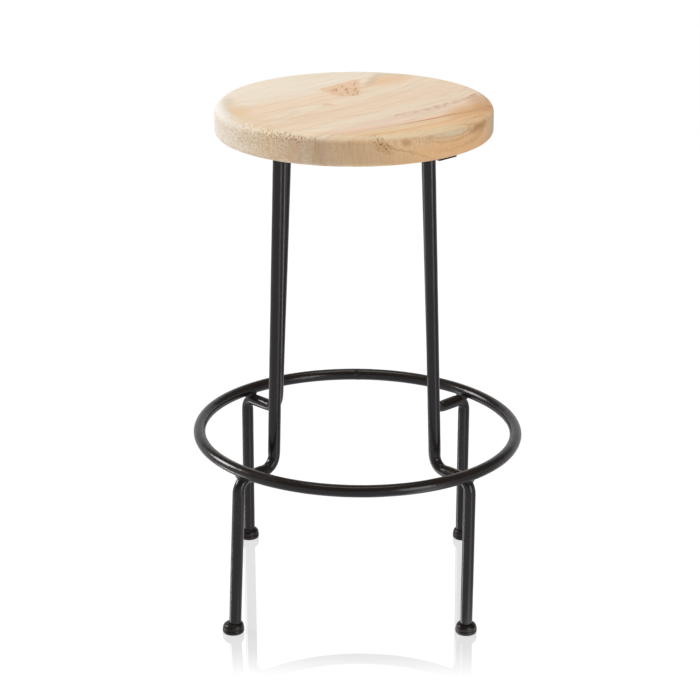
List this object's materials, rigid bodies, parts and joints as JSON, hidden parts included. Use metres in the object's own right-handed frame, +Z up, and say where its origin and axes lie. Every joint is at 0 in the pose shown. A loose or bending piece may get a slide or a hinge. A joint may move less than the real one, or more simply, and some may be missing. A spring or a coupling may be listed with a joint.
{
  "type": "backless stool with footrest ring",
  "caption": "Round solid-wood seat on black bent steel rod legs that step outwards below the knee and carry a round footrest ring; rubber foot caps.",
  "frame": {"origin": "on the floor, straight below the middle of the seat", "axes": "+Z up; the legs stand on the diagonals between X and Y; front is towards -Y"},
  "size_m": [0.429, 0.429, 0.66],
  "materials": {
    "seat_wood": "bare pale softwood, sanded, fine saw marks on the rim, matt",
    "black_paint": "black paint on hand-bent steel rod, satin",
    "painted_weld": "black paint over weld metal, satin, slightly lumpy",
    "zinc_steel": "bright zinc plate",
    "black_rubber": "moulded black rubber, slight sheen"
  },
  "bodies": {
    "root": {"seat": "seat_wood", "seat_bar_upper": "black_paint", "seat_bar_lower": "black_paint", "bar_cross_weld": "painted_weld", "bar_spacers": "zinc_steel", "seat_screws": "zinc_steel", "leg_front_left": "black_paint", "leg_front_right": "black_paint", "leg_rear_left": "black_paint", "leg_rear_right": "black_paint", "top_weld_front_left": "painted_weld", "top_weld_front_right": "painted_weld", "top_weld_rear_left": "painted_weld", "top_weld_rear_right": "painted_weld", "footrest_ring": "black_paint", "ring_seam_weld": "painted_weld", "ring_weld_front_left": "painted_weld", "ring_weld_front_right": "painted_weld", "ring_weld_rear_left": "painted_weld", "ring_weld_rear_right": "painted_weld", "foot_cap_front_left": "black_rubber", "foot_cap_front_right": "black_rubber", "foot_cap_rear_left": "black_rubber", "foot_cap_rear_right": "black_rubber", "foot_washers": "zinc_steel"}
  },
  "joints": []
}
